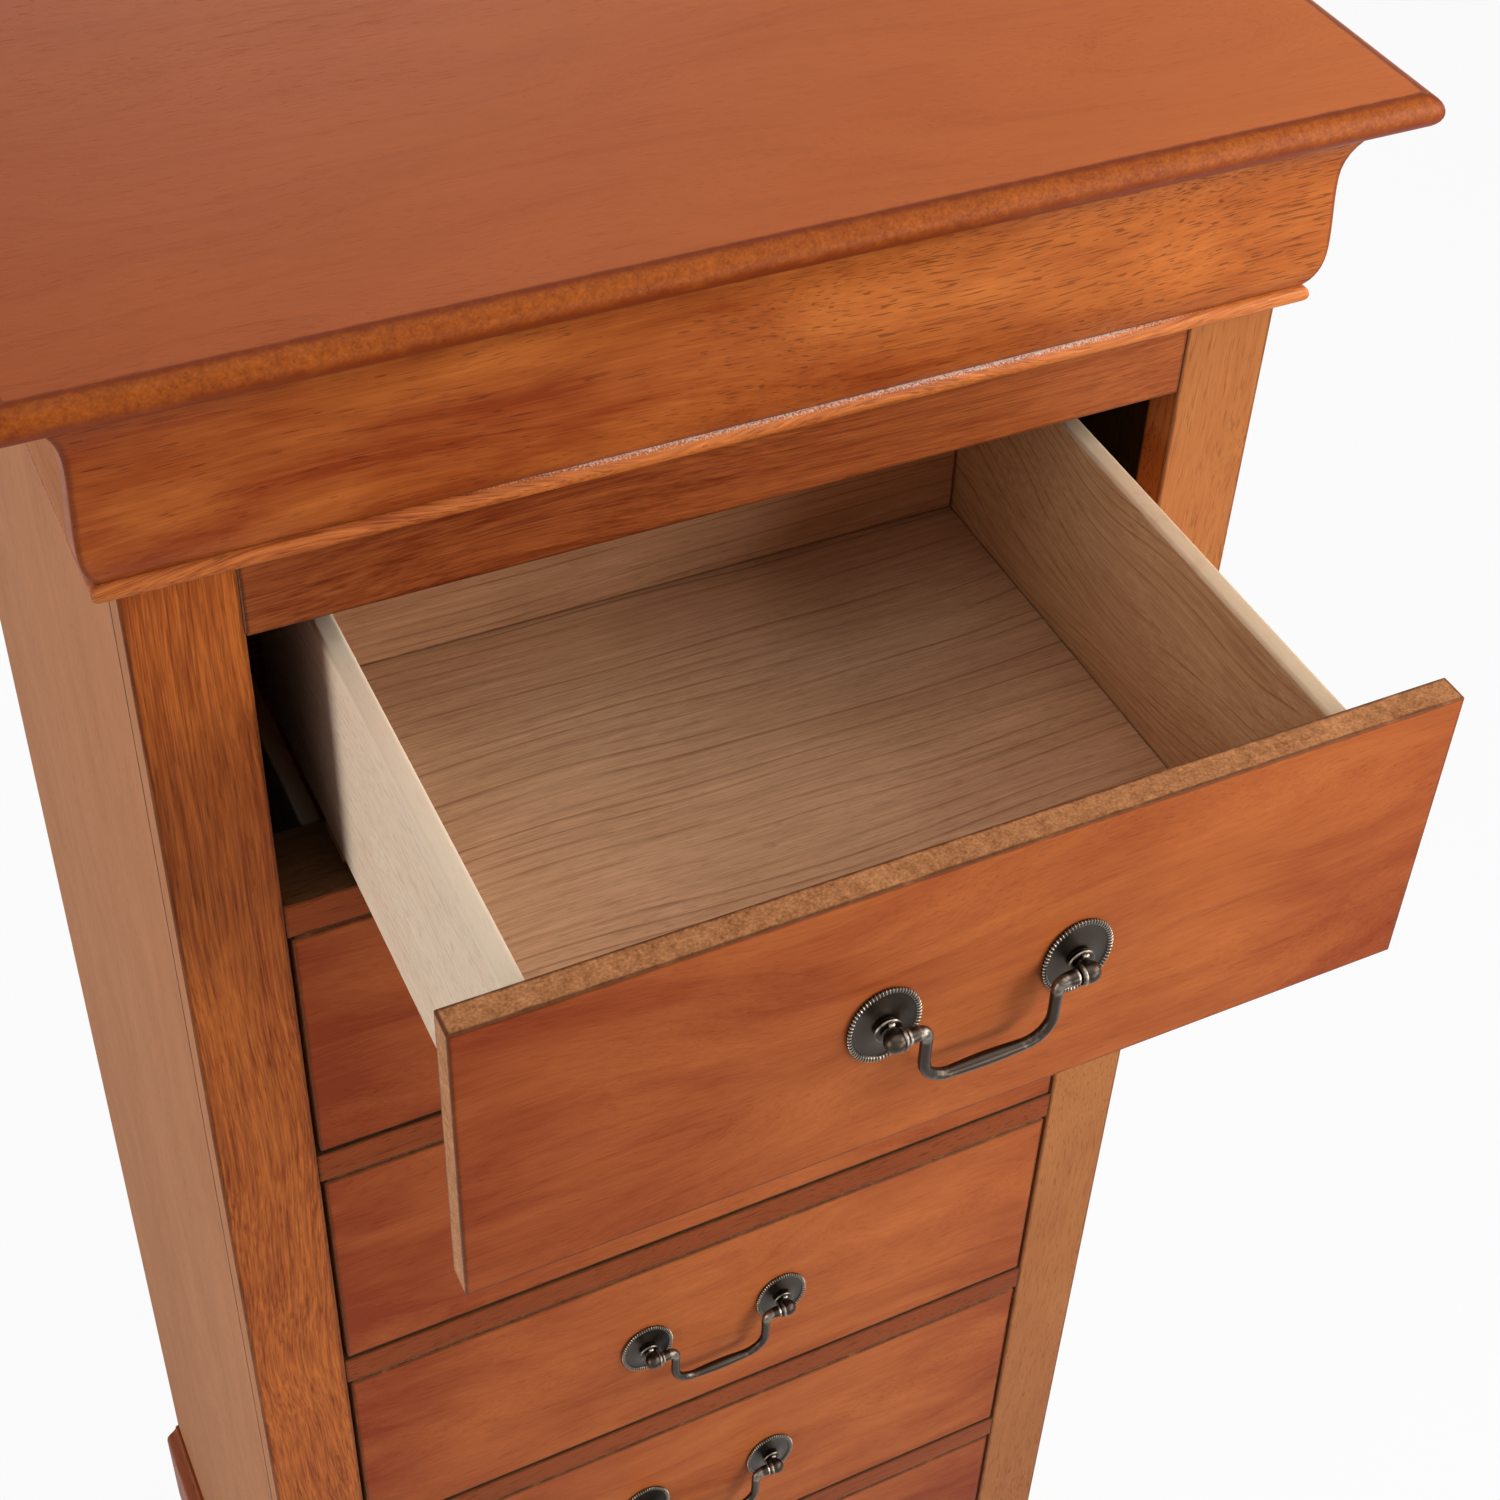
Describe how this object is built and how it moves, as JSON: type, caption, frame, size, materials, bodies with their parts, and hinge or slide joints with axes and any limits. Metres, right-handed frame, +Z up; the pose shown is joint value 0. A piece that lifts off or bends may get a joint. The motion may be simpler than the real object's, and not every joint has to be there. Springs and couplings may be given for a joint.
{
  "type": "lingerie chest",
  "caption": "Tall narrow lingerie chest in cherry-brown wood: ogee crown, face frame, scalloped plinth and inset drawers with oval-plate bail pulls, the top drawer pulled out.",
  "frame": {"origin": "on the floor, under the middle of the box that holds the whole chest with its top drawer pulled out", "axes": "+Z up, -Y out of the drawer fronts, +X to the right as seen from the front"},
  "size_m": [0.534, 0.6196, 1.322],
  "materials": {
    "cherry": "reddish-brown cherry veneer, satin lacquer",
    "cherry_post": "reddish-brown solid wood with straight upright grain, satin lacquer",
    "pale_wood": "pale drawer-box wood, thin clear lacquer",
    "raw_board": "unfinished brown board",
    "bronze": "dark antique finish, rubbed bright on the edges"
  },
  "bodies": {
    "carcass": {"top_board": "cherry", "crown_front": "cherry", "crown_left": "cherry", "crown_right": "cherry", "bead_moulding": "cherry", "top_rail": "cherry", "back_panel": "raw_board", "plinth_front": "cherry", "plinth_back": "raw_board", "plinth_left": "cherry", "plinth_right": "cherry", "stile_left": "cherry_post", "stile_right": "cherry_post", "side_panel_left": "cherry", "side_panel_right": "cherry", "rail_1": "cherry", "rail_2": "cherry", "rail_3": "cherry", "rail_4": "cherry", "rail_5": "cherry", "rail_6": "cherry", "rail_7": "cherry"},
    "drawer_1": {"drawer_1_front": "cherry", "drawer_1_side_left": "pale_wood", "drawer_1_side_right": "pale_wood", "drawer_1_back": "pale_wood", "drawer_1_bottom": "pale_wood", "drawer_1_post_left": "bronze", "drawer_1_post_right": "bronze"},
    "drawer_2": {"drawer_2_front": "cherry", "drawer_2_box": "pale_wood", "drawer_2_post_left": "bronze", "drawer_2_post_right": "bronze"},
    "drawer_3": {"drawer_3_front": "cherry", "drawer_3_box": "pale_wood", "drawer_3_post_left": "bronze", "drawer_3_post_right": "bronze"},
    "drawer_4": {"drawer_4_front": "cherry", "drawer_4_box": "pale_wood", "drawer_4_post_left": "bronze", "drawer_4_post_right": "bronze"},
    "drawer_5": {"drawer_5_front": "cherry", "drawer_5_box": "pale_wood", "drawer_5_post_left": "bronze", "drawer_5_post_right": "bronze"},
    "drawer_6": {"drawer_6_front": "cherry", "drawer_6_box": "pale_wood", "drawer_6_post_left": "bronze", "drawer_6_post_right": "bronze"},
    "drawer_7": {"drawer_7_front": "cherry", "drawer_7_box": "pale_wood", "drawer_7_post_left": "bronze", "drawer_7_post_right": "bronze"},
    "bail_1": {"drawer_1_bail": "bronze"},
    "bail_2": {"drawer_2_bail": "bronze"},
    "bail_3": {"drawer_3_bail": "bronze"},
    "bail_4": {"drawer_4_bail": "bronze"},
    "bail_5": {"drawer_5_bail": "bronze"},
    "bail_6": {"drawer_6_bail": "bronze"},
    "bail_7": {"drawer_7_bail": "bronze"}
  },
  "joints": [
    {"name": "drawer_1_slide", "type": "slide", "parent": "carcass", "child": "drawer_1", "axis": [0, -1, 0], "range_m": [-0.1945, 0.0455]},
    {"name": "drawer_2_slide", "type": "slide", "parent": "carcass", "child": "drawer_2", "axis": [0, -1, 0], "range_m": [0, 0.24]},
    {"name": "drawer_3_slide", "type": "slide", "parent": "carcass", "child": "drawer_3", "axis": [0, -1, 0], "range_m": [0, 0.24]},
    {"name": "drawer_4_slide", "type": "slide", "parent": "carcass", "child": "drawer_4", "axis": [0, -1, 0], "range_m": [0, 0.24]},
    {"name": "drawer_5_slide", "type": "slide", "parent": "carcass", "child": "drawer_5", "axis": [0, -1, 0], "range_m": [0, 0.24]},
    {"name": "drawer_6_slide", "type": "slide", "parent": "carcass", "child": "drawer_6", "axis": [0, -1, 0], "range_m": [0, 0.24]},
    {"name": "drawer_7_slide", "type": "slide", "parent": "carcass", "child": "drawer_7", "axis": [0, -1, 0], "range_m": [0, 0.24]},
    {"name": "bail_1_swing", "type": "hinge", "parent": "drawer_1", "child": "bail_1", "pos_m": [0, -0.30566, 1.1165], "axis": [-1, 0, 0], "range_deg": [-10, 165]},
    {"name": "bail_2_swing", "type": "hinge", "parent": "drawer_2", "child": "bail_2", "pos_m": [0, -0.11116, 0.96], "axis": [-1, 0, 0], "range_deg": [-10, 165]},
    {"name": "bail_3_swing", "type": "hinge", "parent": "drawer_3", "child": "bail_3", "pos_m": [0, -0.11116, 0.8035], "axis": [-1, 0, 0], "range_deg": [-10, 165]},
    {"name": "bail_4_swing", "type": "hinge", "parent": "drawer_4", "child": "bail_4", "pos_m": [0, -0.11116, 0.647], "axis": [-1, 0, 0], "range_deg": [-10, 165]},
    {"name": "bail_5_swing", "type": "hinge", "parent": "drawer_5", "child": "bail_5", "pos_m": [0, -0.11116, 0.4905], "axis": [-1, 0, 0], "range_deg": [-10, 165]},
    {"name": "bail_6_swing", "type": "hinge", "parent": "drawer_6", "child": "bail_6", "pos_m": [0, -0.11116, 0.334], "axis": [-1, 0, 0], "range_deg": [-10, 165]},
    {"name": "bail_7_swing", "type": "hinge", "parent": "drawer_7", "child": "bail_7", "pos_m": [0, -0.11116, 0.1775], "axis": [-1, 0, 0], "range_deg": [-10, 165]}
  ]
}
